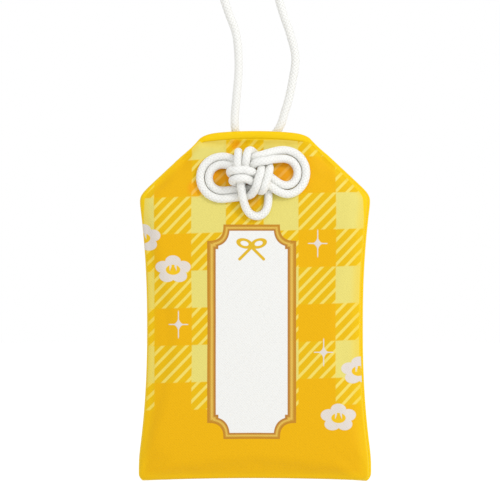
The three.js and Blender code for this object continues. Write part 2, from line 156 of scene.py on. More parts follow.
cord = {"free": 1.78, "knot": 1.76, "layPitch": 2.02, "ringEvery": 0.22, "sides": 20,
        "curveSteps": 24, "pathEvery": 0.5}
tying = {  # how the strands are drawn together: pull on the bends, pull back to the lay, push apart
    "rounds": 1500, "pointEvery": 0.4, "neighbours": 1.7, "settleFrom": 0.8,
    "drawing": (0.22, 0.07, 0.22), "settling": (0.008, 0.0, 0.4),
}


def runLengths(points):
    return np.concatenate([[0.0], np.cumsum(np.linalg.norm(np.diff(points, axis=0), axis=1))])


def smoothPath(route, step):  # a centripetal curve through the route, evenly spaced
    route = np.asarray(route, float)
    longer = np.vstack([2 * route[0] - route[1], route, 2 * route[-1] - route[-2]])
    curve = []
    for i in range(1, len(longer) - 2):
        p0, p1, p2, p3 = longer[i - 1:i + 3]
        t1 = np.linalg.norm(p1 - p0) ** 0.5
        t2 = t1 + np.linalg.norm(p2 - p1) ** 0.5
        t3 = t2 + np.linalg.norm(p3 - p2) ** 0.5
        for t in np.linspace(t1, t2, cord["curveSteps"], endpoint=False):
            a1 = (t1 - t) / t1 * p0 + t / t1 * p1
            a2 = (t2 - t) / (t2 - t1) * p1 + (t - t1) / (t2 - t1) * p2
            a3 = (t3 - t) / (t3 - t2) * p2 + (t - t2) / (t3 - t2) * p3
            b1 = (t2 - t) / t2 * a1 + t / t2 * a2
            b2 = (t3 - t) / (t3 - t1) * a2 + (t - t1) / (t3 - t1) * a3
            curve.append((t2 - t) / (t2 - t1) * b1 + (t - t1) / (t2 - t1) * b2)
    curve = np.array(curve + [longer[-2]])
    along = runLengths(curve)
    wanted = np.linspace(0.0, along[-1], max(2, int(round(along[-1] / step))) + 1)
    return np.stack([np.interp(wanted, along, curve[:, k]) for k in range(3)], axis=1)


# Tied strands are pulled together: they keep a pitch apart, bends even out, nothing sinks into the cloth.
def drawTight(routes, pitch, restsOn):
    spaced = [smoothPath(route, pitch * tying["pointEvery"]) for route in routes]
    at = np.vstack(spaced)
    home = at.copy()
    count = len(at)
    number = np.concatenate([np.full(len(s), n) for n, s in enumerate(spaced)])
    order = np.concatenate([np.arange(len(s)) for s in spaced])
    last = np.concatenate([np.full(len(s), len(s) - 1) for s in spaced])
    fixed = (order < 2) | (order > last - 2)
    inner = np.where(~fixed)[0]
    sameStrand = number[:, None] == number[None, :]
    reach = round(tying["neighbours"] / tying["pointEvery"])
    near = sameStrand & (np.abs(order[:, None] - order[None, :]) < reach)
    for turn in range(tying["rounds"]):
        stage = "settling" if turn > tying["rounds"] * tying["settleFrom"] else "drawing"
        smoothing, homing, parting = tying[stage]
        move = np.zeros((count, 3))
        move[inner] += smoothing * ((at[inner - 1] + at[inner + 1]) / 2 - at[inner])
        move[inner] += np.array([homing, homing / 6, homing]) * (home[inner] - at[inner])
        away = at[:, None, :] - at[None, :, :]
        distance = np.sqrt((away ** 2).sum(axis=2))
        close = (distance < pitch) & ~near & (distance > 1e-9)
        push = np.where(close, parting * (pitch - distance) / np.maximum(distance, 1e-9), 0.0)
        move += (push[:, :, None] * away).sum(axis=1)
        move[fixed] = 0.0
        at = at + move
        limit = restsOn(at[:, 0], at[:, 2])
        at[:, 1] = np.where(~fixed & (at[:, 1] > limit), limit, at[:, 1])
    return [at[number == n] for n in range(len(routes))]


# A round cord along a path. Its UV map runs along it in millimetres and round it in shares.
def makeCord(name, path, diameter):
    path = toFrame(smoothPath(path, cord["ringEvery"]))
    sides = cord["sides"]
    tangent = np.gradient(path, axis=0)
    tangent /= np.linalg.norm(tangent, axis=1)[:, None]
    side = np.cross(tangent[0], [0.0, 0.0, 1.0])
    if np.linalg.norm(side) < 1e-3:
        side = np.cross(tangent[0], [0.0, 1.0, 0.0])
    along = runLengths(path) * 1000
    angles = np.arange(sides)[:, None] * 2 * math.pi / sides
    shape = bmesh.new()
    uvLayer = shape.loops.layers.uv.new("cord")
    rings = []
    for place, way in zip(path, tangent):
        side = side - way * side.dot(way)
        side /= np.linalg.norm(side)
        ring = place + diameter / 2000 * (np.cos(angles) * side + np.sin(angles) * np.cross(way, side))
        rings.append([shape.verts.new(vert) for vert in ring])
    for i, (ring, after) in enumerate(zip(rings, rings[1:])):
        for k in range(sides):
            n = (k + 1) % sides
            face = shape.faces.new([ring[k], ring[n], after[n], after[k]])
            face.smooth = True
            corners = [(along[i], k), (along[i], k + 1), (along[i + 1], k + 1), (along[i + 1], k)]
            for loop, (u, v) in zip(face.loops, corners):
                loop[uvLayer].uv = (u, v / sides)
    for end, order in ((0, -1), (-1, 1)):
        for loop in shape.faces.new(rings[end][::order]).loops:
            loop[uvLayer].uv = (along[end], 0.0)
    bmesh.ops.recalc_face_normals(shape, faces=shape.faces)
    mesh = bpy.data.meshes.new(name)
    shape.to_mesh(mesh)
    shape.free()
    return addObject(name, mesh), path


# The knot's lay on the front: across, up and layers out from the cloth, in cord diameters from its middle
knot = {"middle": -0.65, "height": 66.1, "holeLeft": -3.55, "holeRight": -0.2, "holeHeight": 70.0,
        "offCloth": 0.05, "holeOut": 0.9, "holeUp": 0.1, "endsInto": 1.3}
leftEar = {"middle": -3.65, "height": -0.71, "angles": (262, 225, 195, 165, 135, 105, 75)}
rightEar = {"middle": 3.95, "height": -0.08, "angles": (95, 65, 35, 5, -25, -55, -85)}


def ear(middle, height, wide, tall, angles):
    turns = [math.radians(angle) for angle in angles]
    return [(middle + wide * math.cos(turn), height + tall * math.sin(turn), 0) for turn in turns]


lowerLoop = [
    (-1.55, 2.1, 2.2), (-1.7, 1.2, 2.2), (-1.75, 0.3, 1.5), (-1.75, -0.7, 1.4), (-1.6, -1.6, 1.4),
    (-1.2, -2.5, 1.0), (-0.95, -3.4, 0.3), (-0.9, -4.4, 0), (-0.3, -5.3, 0), (0.65, -5.65, 0),
    (1.6, -5.2, 0), (2.05, -4.1, 0), (2.0, -3.1, 0)]
rightStroke = [
    (2.0, -2.2, 0), (2.0, -1.2, 0), (2.0, 0, 0), (2.0, 0.9, 0), (1.95, 1.5, 0.3), (1.8, 1.5, 1.0),
    (1.75, 0.8, 1.5), (1.7, -0.2, 2.2), (1.6, -1.2, 2.2), (1.45, -2.2, 1.6), (1.2, -2.5, 0.8),
    (0.5, -2.0, 0.1)]
innerEar = [(-0.5, -1.9, 0), (-1.5, -2.0, 0), *ear(wide=1.8, tall=1.78, **leftEar), (-2.3, 0.6, 0.6)]
innerTop = [
    (-1.7, 0.3, 1.0), (-0.7, 0.3, 1.0), (0.1, 0.45, 1.6), (0.9, 0.8, 2.4), (1.8, 1.15, 2.0),
    (2.8, 1.45, 0.8), *ear(wide=1.78, tall=1.86, **rightEar)]
upperCross = [
    (2.7, -1.1, 0.6), (1.7, -0.4, 1.2), (0.7, -0.1, 1.2), (-0.1, 0.2, 2.0), (-0.8, 0.25, 2.5),
    (-1.6, 0.25, 2.5), (-2.1, 0.2, 1.7), (-2.2, 0.2, 0.7), (-1.8, 0.5, 0)]
leftStroke = [
    (-1.0, 1.1, 0), (0, 1.6, 0), (0.5, 2.2, 0.2), (0.65, 2.1, 0.9), (0.65, 1.0, 1.4), (0.7, -0.2, 2.2),
    (0.65, -1.2, 2.2), (0.5, -2.2, 1.6), (0.2, -2.8, 0.8), (-0.3, -2.9, 0.1)]
outerEar = [(-1.3, -2.9, 0), (-2.2, -3.0, 0), *ear(wide=2.78, tall=2.72, **leftEar), (-2.4, 1.5, 0.6)]
outerTop = [
    (-1.7, 1.3, 1.0), (-0.7, 1.3, 1.0), (0.1, 1.45, 1.6), (0.9, 1.85, 2.4), (1.8, 2.2, 2.0),
    (2.8, 2.5, 0.8), *ear(wide=2.76, tall=2.86, **rightEar)]
lowerCross = [
    (2.7, -2.1, 0.6), (1.7, -1.4, 1.2), (0.7, -1.1, 1.2), (-0.1, -0.8, 2.0), (-0.8, -0.75, 2.5),
    (-1.6, -0.75, 2.5), (-2.1, -0.85, 1.7), (-2.1, -1.15, 0.9), (-1.6, -1.6, 0.7), (-1.0, -1.6, 0.8)]
lastStroke = [(-0.75, -0.9, 1.2), (-0.75, 0.2, 1.4), (-0.65, 1.2, 2.2), (-0.3, 2.1, 2.2)]
knotStrokes = [lowerLoop, rightStroke, innerEar, innerTop, upperCross, leftStroke, outerEar, outerTop,
               lowerCross, lastStroke]


def knotLimit(x, z):  # the cord's axis where it lies on the cloth
    return -(outerDepth(frontPlan, x, z) + cord["knot"] / 2 + knot["offCloth"])


def makeKnot():
    pitch = cord["knot"]
    places = []
    for across, up, layer in [place for stroke in knotStrokes for place in stroke]:
        x = knot["middle"] + across * pitch
        z = knot["height"] + up * pitch
        places.append((x, float(knotLimit(x, z)) - layer * pitch, z))
    axis = float(knotLimit(0.0, knot["holeHeight"]))
    out, raised = axis - pitch * knot["holeOut"], knot["holeHeight"] + pitch * knot["holeUp"]
    start, end = knot["holeLeft"], knot["holeRight"]
    route = [(start, axis, knot["holeHeight"]), (start, out, raised), *places,
             (end, out, raised), (end, axis, knot["holeHeight"])]
    tight = drawTight([route], pitch, knotLimit)[0]
    into = np.array([0.0, knot["endsInto"], 0.0])
    return makeCord("knot_cord", np.vstack([tight[0] + into, tight, tight[-1] + into]), pitch)[0]


knotPiece = makeKnot()
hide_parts("decorative_knot")
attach(knotPiece, "knot")
print("front knot tied")

# Two strands run from the front hole through the pouch, over the rim and up into the end knot. At each
# height of climb, lean is the share of the way to the swing line, and tuck draws them to the back panel.
loop = {
    "swingHeight": 76.3, "swingDepth": 1.1, "blendReach": 2.5, "endKnotHeight": 126.0, "endSpread": 0.35,
    "inPouch": 0.955, "throughBack": 0.1, "offBack": 1.05,
    "climb": (0.09, 0.32, 0.62), "tuck": (0.65, 0.0, 0.0),
    "left": {"hole": knot["holeLeft"], "swing": -4.35, "lean": (0.03, 0.2, 0.55),
             "rise": [(-4.25, 3.3), (-4.0, 5.9), (-3.5, 12.9), (-4.1, 19.8), (-5.8, 24.5),
                      (-6.9, 28.7), (-6.2, 33.7), (-3.8, 38.2)]},
    "right": {"hole": knot["holeRight"], "swing": 5.5, "lean": (0.03, 0.3, 0.7),
              "rise": [(6.55, 3.3), (6.98, 4.6), (8.05, 9.4), (8.7, 14.6), (7.5, 19.8), (5.9, 24.5),
                       (4.8, 28.7), (4.3, 33.7), (3.0, 38.2)]},
}
# the end knot's lay: across and up in double cord widths, back in single ones
overhand = [
    (0, -1.9, 0), (0, -1.5, 0), (0, -1.1, -0.8), (0, -0.7, -1.2), (0, -0.2, 0), (0, 0.3, 1.2),
    (0.25, 0.9, 0.6), (0.8, 1.25, -1.0), (1.3, 0.8, -0.6), (1.35, 0.1, 0), (1.1, -0.5, 0.6),
    (0.6, -0.8, 1.0), (0, -0.8, 1.2), (-0.65, -0.65, 0.6), (-0.95, -0.1, 0), (-0.65, 0.35, -0.8),
    (0, 0.4, -1.2), (0.5, 0.65, 0), (0.75, 1.15, 1.2), (0.7, 1.9, 0.5), (0.4, 2.6, 0), (0.2, 3.2, 0)]


def endStrand(side):
    pitch = cord["layPitch"]
    places = []
    for order, (across, up, back) in enumerate(overhand):
        before = overhand[max(0, order - 1)]
        after = overhand[min(len(overhand) - 1, order + 1)]
        run = math.hypot(after[0] - before[0], after[1] - before[1])
        sideways = side * (after[1] - before[1]) / run / 4
        upwards = -side * (after[0] - before[0]) / run / 4
        spread = side * loop["endSpread"] if order == 0 else 0.0
        places.append(((across + sideways) * 2 * pitch + spread, loop["swingDepth"] + back * pitch,
                       loop["endKnotHeight"] + (up + upwards) * 2 * pitch))
    return places


def nothingBehind(x, z):
    return np.full(np.shape(x), 1e9)


endKnots = drawTight([endStrand(-1), endStrand(1)], cord["layPitch"], nothingBehind)
print("end knot tied")


def strandPath(facts, tied):
    hole, base = facts["hole"], knot["holeHeight"]
    places = [(hole, -loop["inPouch"], base), (hole, loop["throughBack"], base)]
    for up, over, tuck in zip(loop["climb"], facts["lean"], loop["tuck"]):
        z = base + (loop["swingHeight"] - base) * up
        behind = float(outerDepth(backPlan, hole, z)) + loop["offBack"]
        places.append((hole + (facts["swing"] - hole) * over, behind - tuck, z))
    places.append((facts["swing"], loop["swingDepth"], loop["swingHeight"]))
    places += [(x, loop["swingDepth"], loop["swingHeight"] + z) for x, z in facts["rise"]]
    return np.vstack([smoothPath(np.vstack([places, tied[:2]]), cord["pathEvery"]), tied[2:]])


def makeStrand(side, tied):
    facts = loop[side]
    piece, path = makeCord("cord_" + side, strandPath(facts, tied), cord["free"])
    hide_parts("loop_strand_" + side, "end_knot_" + side, "cord_pass_" + side)
    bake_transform(piece)
    return piece


strands = [makeStrand("left", endKnots[0]), makeStrand("right", endKnots[1])]


cloth = {"columns": 170, "rows": 240, "thickness": 0.2, "crowding": 1.5,
         "cornerPower": 12, "cornerReach": 4.0, "foldsFrom": 1.0, "foldFade": 0.7}
# how far each cloth stays inside the outline, and how much the front's edge band, partly a painted
# highlight, is narrowed
frontCut = {"left": 0.08, "right": 0.5, "rimDrop": 1.55, "footRise": 0.08, "hem": 0.14,
            "narrowLeft": 0.45, "narrowRight": 0.35}
backCut = {"left": 0.3, "right": 0.5, "rimDrop": 1.1, "footRise": 0.3, "cornerDrop": 0.4}
# the back's edge rolled round to the front: how far it stands out and how deep it is along each side
welt = {"foot": (0.3, 0.42), "right": (0.5, 0.46), "rim": (1.1, 0.55), "left": (0.3, 0.42),
        "steps": 10, "wrap": 215, "blend": 2.4}
# share is what is kept of each move across, outwards and up, in full from freeFrom inside the edge
puff = {"columns": 56, "rows": 80, "scale": 10.0, "frames": 20, "cap": 0.35, "calming": 1,
        "freeFrom": 1.5, "share": (0.3, 1.0, 0.3)}
filling = {"quality": 8, "mass": 0.2, "tension_stiffness": 12.0, "compression_stiffness": 12.0,
           "bending_stiffness": 0.12, "use_pressure": True, "uniform_pressure_force": 1.8,
           "shrink_min": -0.012, "vertex_group_mass": "seam"}
dents = {"places": [(-3.6, 70.4), (-0.1, 70.4)], "radius": 1.5, "depth": 0.4}  # where the cord goes in
folds = [
    {"from": (-17.6, 68.6), "to": (-9.0, 71.2), "width": 0.9, "depth": 0.35},
    {"from": (-12.5, 72.9), "to": (-6.5, 71.9), "width": 0.6, "depth": 0.22},
    {"from": (-7.6, 70.0), "to": (-4.7, 72.9), "width": 0.38, "depth": 0.4},
    {"from": (-6.0, 70.0), "to": (-3.0, 73.1), "width": 0.38, "depth": 0.52},
    {"from": (-4.0, 70.4), "to": (-1.2, 73.1), "width": 0.4, "depth": 0.42},
    {"from": (-0.8, 71.3), "to": (1.6, 73.0), "width": 0.4, "depth": 0.16},
    {"from": (5.5, 72.2), "to": (13.5, 70.8), "width": 0.8, "depth": 0.2},
    {"from": (11.0, 66.5), "to": (20.5, 61.5), "width": 1.4, "depth": 0.22},
    {"from": (-13.0, 62.0), "to": (-21.0, 57.5), "width": 1.4, "depth": 0.2},
]


# across, height and dropped corners of a panel's grid, crowded towards its edges
def panelGrid(plan, columns, rows):
    reach, share = np.meshgrid(np.linspace(-1, 1, columns + 1), np.linspace(0, 1, rows + 1))
    across = np.sign(reach) * (1 - (1 - np.abs(reach)) ** cloth["crowding"])
    rim = rimLevel(plan)
    crowded = 0.5 * share + 0.25 * (1 - np.cos(math.pi * share))
    level = plan["footRise"] + (rim - plan["footRise"]) * crowded
    nearRim = clamp01((level - rim + cloth["cornerReach"]) / cloth["cornerReach"])
    corner = plan.get("cornerDrop", 0.0) * np.abs(across) ** cloth["cornerPower"] * nearRim
    return across * edgeAt(plan, across, level), bentHeight(plan, across, level), corner


def gridFaces(columns, rows):  # numbered along the rows from the foot up
    number = np.arange((columns + 1) * (rows + 1)).reshape(rows + 1, columns + 1)
    corners = [number[:-1, :-1], number[:-1, 1:], number[1:, 1:], number[1:, :-1]]
    return np.stack(corners, axis=-1).reshape(-1, 4)


def finer(values, columns, rows):  # a coarse grid's values at a finer grid's places, by smooth curves
    def along(table, count):
        last = len(table) - 1
        at = np.linspace(0, last, count + 1)
        low = np.minimum(at.astype(int), last - 1)
        t = (at - low)[:, None]
        a, b, c, d = (table[np.clip(low + step, 0, last)] for step in (-1, 0, 1, 2))
        return b + 0.5 * t * (c - a + t * (2 * a - 5 * b + 4 * c - d + t * (3 * (b - c) + d - a)))
    return along(along(values, rows).T, columns).T


def borderNumbers(columns, rows):  # row and column along the foot, up the right, back and down the left
    foot = [(0, column, "foot") for column in range(columns)]
    right = [(row, columns, "right") for row in range(rows)]
    rim = [(rows, column, "rim") for column in range(columns, 0, -1)]
    left = [(row, 0, "left") for row in range(rows, 0, -1)]
    return foot + right + rim + left


def addStuffing(bag):
    stuffing = bag.modifiers.new("stuffing", "CLOTH")
    for key, value in filling.items():
        setattr(stuffing.settings, key, value)
    stuffing.settings.effector_weights.gravity = 0.0
    stuffing.collision_settings.use_collision = False
    stuffing.point_cache.frame_end = puff["frames"]


def calmed(moved):  # each place takes the mean of itself and its neighbours
    for _ in range(puff["calming"]):
        for axis in (1, 2):
            wider = np.pad(moved, [(1, 1) if k == axis else (0, 0) for k in range(4)], mode="edge")
            places = np.arange(moved.shape[axis])
            moved = sum(np.take(wider, places + k, axis=axis) for k in range(3)) / 3
    return moved


# How the sewn and stuffed cloth departs from its cut shape, by a cloth simulation on a larger copy
def puffedCloth():
    columns, rows = puff["columns"], puff["rows"]
    x, z, _ = panelGrid(backPlan, columns, rows)
    depth = outerDepth(backPlan, x, z)
    border = np.zeros(x.shape, bool)
    for row, column, _ in borderNumbers(columns, rows):
        border[row, column] = True
    depth[border] = 0.0
    sewn = border.ravel()
    count = x.size
    places = np.vstack([np.stack([x, side * depth, z], axis=-1).reshape(-1, 3) for side in (-1, 1)])
    numbers = np.arange(count)
    backNumbers = np.where(sewn, numbers, numbers + count)
    faces = gridFaces(columns, rows)
    faces = np.vstack([faces, backNumbers[faces][:, ::-1]])
    used, compact = np.unique(faces, return_inverse=True)
    mesh = bpy.data.meshes.new("bag")
    larger = places[used] * 0.001 * puff["scale"]
    mesh.from_pydata(larger.tolist(), [], compact.reshape(-1, 4).tolist())
    bag = addObject("bag", mesh)
    held = bag.vertex_groups.new(name="seam")
    held.add([int(i) for i in np.where(sewn[used % count])[0]], 1.0, "ADD")
    addStuffing(bag)
    for number in range(1, puff["frames"] + 1):
        bpy.context.scene.frame_set(number)
    stuffed = bag.evaluated_get(bpy.context.evaluated_depsgraph_get())
    after = np.empty(len(used) * 3)
    stuffed.to_mesh().vertices.foreach_get("co", after)
    stuffed.to_mesh_clear()
    bpy.data.objects.remove(bag)
    bpy.context.scene.frame_set(1)
    moved = np.zeros((2 * count, 3))
    moved[used] = after.reshape(-1, 3) * 1000 / puff["scale"] - places[used]
    moved[count:][sewn] = moved[:count][sewn]
    print("cloth moved by up to", round(float(np.abs(moved).max()), 2), "mm")
    moved = np.clip(moved, -puff["cap"], puff["cap"]).reshape(2, rows + 1, columns + 1, 3)
    return calmed(moved)


def foldDepth(x, z):  # how deep the dents and the shallow folds round the knot lie
    total = np.zeros(x.shape)
    for middle, height in dents["places"]:
        away = ((x - middle) ** 2 + (z - height) ** 2) / dents["radius"] ** 2
        total += dents["depth"] * np.exp(-away)
    for fold in folds:
        start, end = np.array(fold["from"]), np.array(fold["to"])
        run = end - start
        share = ((x - start[0]) * run[0] + (z - start[1]) * run[1]) / run.dot(run)
        off = ((x - start[0]) * run[1] - (z - start[1]) * run[0]) / np.linalg.norm(run)
        fade = np.sin(math.pi * clamp01(share)) ** cloth["foldFade"]
        total += fold["depth"] * fade * np.exp(-(off / fold["width"]) ** 2)
    return total


# The UV map holds the place on the flat cut cloth in millimetres, and margin the way to the cloth's edge.
def makeCloth(name, places, faces, rest, margin):
    mesh = bpy.data.meshes.new(name)
    mesh.from_pydata(toFrame(places).tolist(), [], faces.tolist())
    uv = mesh.uv_layers.new(name="cloth")
    corners = np.empty(len(mesh.loops), int)
    mesh.loops.foreach_get("vertex_index", corners)
    uv.data.foreach_set("uv", rest[corners].ravel())
    mesh.attributes.new("margin", "FLOAT", "POINT").data.foreach_set("value", margin)
    mesh.polygons.foreach_set("use_smooth", [True] * len(mesh.polygons))
    mesh.validate()
    piece = addObject(name, mesh)
    wall = piece.modifiers.new("cloth", "SOLIDIFY")
    wall.thickness = cloth["thickness"] / 1000
    wall.offset = -1.0
    return piece


def panelPlaces(plan, side, moved):
    columns, rows = cloth["columns"], cloth["rows"]
    x, z, corner = panelGrid(plan, columns, rows)
    depth = outerDepth(plan, x, z)
    rim = bentHeight(plan, 0.0, np.full(x.shape, rimLevel(plan)))
    margin = np.minimum(edgeAt(plan, x, z) - np.abs(x), np.minimum(rim - z, z - plan["footRise"]))
    settled = np.stack([finer(moved[:, :, k], columns, rows) for k in range(3)], axis=-1)
    settled *= eased(margin, puff["freeFrom"])[..., None] * np.array(puff["share"])
    z = z - corner
    places = np.stack([x, side * depth, z], axis=-1) + settled
    places[..., 1] -= side * foldDepth(x, z) * eased(margin, cloth["foldsFrom"])
    rest = np.stack([x, z], axis=-1)
    return places.reshape(-1, 3), rest.reshape(-1, 2), margin.ravel()


def makeFront(moved):
    places, rest, margin = panelPlaces(frontCut, -1, moved)
    margin += np.where(rest[:, 0] < 0, frontCut["narrowLeft"], frontCut["narrowRight"])
    return makeCloth("front_cloth", places, gridFaces(cloth["columns"], cloth["rows"]), rest, margin)


def evenedOut(values, outline, reach):  # round a closed outline, each the mean of those within reach
    steps = np.linalg.norm(np.roll(outline, -1, axis=0) - outline, axis=1)
    along = np.concatenate([[0.0], np.cumsum(steps)[:-1]])
    away = np.abs(along[:, None] - along[None, :])
    away = np.minimum(away, steps.sum() - away)
    weight = np.exp(-(away / reach) ** 2) * steps[None, :]
    return weight @ values / weight.sum(axis=1)[:, None]


def makeBack(moved):
    columns, rows = cloth["columns"], cloth["rows"]
    places, rest, margin = panelPlaces(backCut, 1, moved)
    border = borderNumbers(columns, rows)
    edge = np.array([row * (columns + 1) + column for row, column, _ in border])
    outline = places[edge][:, [0, 2]]
    run = np.roll(outline, -1, axis=0) - np.roll(outline, 1, axis=0)
    out = np.stack([run[:, 1], -run[:, 0]], axis=1)
    out /= np.linalg.norm(out, axis=1)[:, None]
    radii = evenedOut(np.array([welt[side] for _, _, side in border]), outline, welt["blend"])
    out = evenedOut(out, outline, welt["blend"] / 3)
    out /= np.linalg.norm(out, axis=1)[:, None]
    rings = [edge]
    for step in range(1, welt["steps"] + 1):
        turn = math.radians(welt["wrap"]) * step / welt["steps"]
        aside = out * (radii[:, 0] * math.sin(turn))[:, None]
        forward = radii[:, 1] * (math.cos(turn) - 1)
        ring = places[edge] + np.stack([aside[:, 0], forward, aside[:, 1]], axis=1)
        rings.append(len(places) + np.arange(len(edge)))
        places = np.vstack([places, ring])
        rest = np.vstack([rest, ring[:, [0, 2]]])
        margin = np.concatenate([margin, np.zeros(len(edge))])
    faces = [gridFaces(columns, rows)[:, ::-1]]
    for inner, outer in zip(rings, rings[1:]):
        faces.append(np.stack([inner, np.roll(inner, -1), np.roll(outer, -1), outer], axis=1))
    return makeCloth("back_cloth", places, np.vstack(faces), rest, margin)


movedCloth = puffedCloth()
frontCloth = makeFront(movedCloth[0])
backCloth = makeBack(movedCloth[1])
for piece, node in ((frontCloth, "front_panel"), (backCloth, "back_panel")):
    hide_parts(node)
    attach(piece, "pouch")
print("panels cut")


def srgb(*colour):
    levels = [value / 255.0 for value in colour]
    return (*[v / 12.92 if v <= 0.04045 else ((v + 0.055) / 1.055) ** 2.4 for v in levels], 1.0)


class Nodes:  # short calls for building a tree of shader nodes
    def __init__(self, tree):
        self.tree = tree

    def add(self, kind, **values):
        node = self.tree.nodes.new(kind)
        for key, value in values.items():
            setattr(node, key, value)
        return node

    def put(self, socket, value):
        if isinstance(value, bpy.types.NodeSocket):
            self.tree.links.new(value, socket)
        else:
            socket.default_value = value

    def fill(self, node, values):
        for name, value in values.items():
            self.put(node.inputs[name], value)
        return node

    def math(self, operation, a, b=0.0, c=0.0):
        node = self.add("ShaderNodeMath", operation=operation)
        for socket, value in zip(node.inputs, (a, b, c)):
            self.put(socket, value)
        return node.outputs[0]

    def plus(self, a, b):
        return self.math("ADD", a, b)

    def minus(self, a, b):
        return self.math("SUBTRACT", a, b)

    def times(self, a, b):
        return self.math("MULTIPLY", a, b)

    def larger(self, a, b):
        return self.math("MAXIMUM", a, b)

    def size(self, value):
        return self.math("ABSOLUTE", value)

    def squares(self, a, b):
        return self.plus(self.math("POWER", a, 2.0), self.math("POWER", b, 2.0))

    def distance(self, a, b):
        return self.math("SQRT", self.squares(a, b))

    def above(self, value, edge, soft):  # 0 below the edge and 1 above it, over a soft width
        node = self.add("ShaderNodeMapRange", interpolation_type="SMOOTHSTEP")
        self.fill(node, {"Value": value, "From Min": edge - soft / 2, "From Max": edge + soft / 2})
        return node.outputs[0]

    def below(self, value, edge, soft):
        return self.minus(1.0, self.above(value, edge, soft))

    def blend(self, share, a, b, how="MIX"):
        node = self.add("ShaderNodeMix", data_type="RGBA", blend_type=how)
        self.fill(node, {0: share, 6: a, 7: b})
        return node.outputs[2]

    def noise(self, vector, scale, detail):
        node = self.add("ShaderNodeTexNoise")
        self.fill(node, {"Vector": vector, "Scale": scale, "Detail": detail})
        return node.outputs["Fac"]

    def bump(self, shader, height, strength, distance):
        node = self.add("ShaderNodeBump")
        self.fill(node, {"Strength": strength, "Distance": distance, "Height": height})
        self.put(shader.inputs["Normal"], node.outputs[0])

    def axes(self, vector):
        apart = self.add("ShaderNodeSeparateXYZ")
        self.put(apart.inputs[0], vector)
        return apart.outputs


def newMaterial(name):
    material = bpy.data.materials.new(name)
    material.use_nodes = True
    return material, Nodes(material.node_tree), material.node_tree.nodes["Principled BSDF"]


def newGroup(name, given, results):
    group = bpy.data.node_groups.new(name, "ShaderNodeTree")
    for names, way in ((given, "INPUT"), (results, "OUTPUT")):
        for socket in names:
            kind = "NodeSocketColor" if socket == "Colour" else "NodeSocketFloat"
            group.interface.new_socket(socket, in_out=way, socket_type=kind)
    n = Nodes(group)
    return group, n, n.add("NodeGroupInput").outputs, n.add("NodeGroupOutput")


checks = {
    "amber": srgb(239, 182, 2), "hatchGround": srgb(235, 188, 8), "stripe": srgb(243, 220, 106),
    "pale": srgb(232, 219, 119), "edge": srgb(249, 207, 6),
    "columnPeriod": 15.4, "columnAmber": 8.2, "columnStart": -21.75, "bandSoft": 0.02,
    "rowPeriod": 15.8, "rowAmber": 8.1, "rowStart": 68.9, "tilt": 0.03, "tiltFrom": 14.0,
    "plainBelow": 15.5, "plainSoft": 0.3,
    "stripeStart": -0.427, "stripePeriod": 2.525, "stripeLean": 0.9697,
    "stripeShare": 0.38, "stripeSoft": 0.1,
    # painted sheen: within a reach of the cloth's edge the colour is blended part way to the brighter
    # edge colour
    "paintedSheen": 0.4, "paintedSheenReach": 2.0, "paintedSheenSoft": 2.4, "edgeWide": 0.75, "edgeSoft": 0.25,
    # the edge band is the rolled edge's plain cloth in a brighter colour, partly a painted highlight, and
    # round the shoulders it is widened as a painted highlight
    "shoulderHighlightWide": 0.7, "shoulderHighlightHeight": 60.3, "cornerReach": 3.2,
}
threads = {"width": 0.3, "stretch": 0.6, "scale": 3.0, "detail": 3.0}


# Woven checks: amber squares, pale squares, and slanting stripes where the two cross
def makeCheckGroup():
    group, n, given, result = newGroup("wovenCheck", ["Across", "Height"], ["Colour", "Stripe"])
    x, h = given["Across"], given["Height"]

    def band(value, start, period, share, soft):  # 1 inside the repeated band, 0 outside
        phase = n.math("FRACT", n.math("DIVIDE", n.minus(value, start), period))
        return n.times(n.above(phase, soft / 2, soft), n.below(phase, share, soft))

    rowHeight = n.minus(h, n.times(n.plus(x, checks["tiltFrom"]), checks["tilt"]))
    wide, tall, soft = checks["columnPeriod"], checks["rowPeriod"], checks["bandSoft"]
    column = band(x, checks["columnStart"], wide, checks["columnAmber"] / wide, soft)
    downward = n.minus(checks["rowStart"], rowHeight)
    row = band(downward, 0.0, tall, checks["rowAmber"] / tall, soft)
    slant = n.minus(x, n.times(h, checks["stripeLean"]))
    stripe = band(slant, checks["stripeStart"], checks["stripePeriod"],
                  checks["stripeShare"], checks["stripeSoft"])
    both = n.times(column, row)
    either = n.larger(column, row)
    hatched = n.blend(stripe, checks["hatchGround"], checks["stripe"])
    colour = n.blend(either, checks["pale"], hatched)
    colour = n.blend(both, colour, checks["amber"])
    plain = n.below(rowHeight, checks["plainBelow"], checks["plainSoft"])
    striped = n.times(n.times(n.minus(either, both), stripe), n.minus(1.0, plain))
    n.fill(result, {"Colour": n.blend(plain, colour, checks["amber"]), "Stripe": striped})
    return group


# Height of a plain weave, and a faint unevenness of its threads
def makeWeaveGroup():
    group, n, given, result = newGroup(
        "threadWeave", ["Across", "Height", "Thread"], ["Relief", "Unevenness"])
    x, h = given["Across"], given["Height"]
    turn = n.math("DIVIDE", math.pi, given["Thread"])
    warp = n.math("SINE", n.times(x, turn))
    weft = n.math("SINE", n.times(h, turn))
    vector = n.add("ShaderNodeCombineXYZ")
    n.fill(vector, {0: n.times(x, threads["stretch"]), 2: h})
    relief = n.math("MULTIPLY_ADD", n.times(warp, weft), 0.5, 0.5)
    uneven = n.noise(vector.outputs[0], threads["scale"], threads["detail"])
    n.fill(result, {"Relief": relief, "Unevenness": uneven})
    return group


checkGroup = makeCheckGroup()
weaveGroup = makeWeaveGroup()

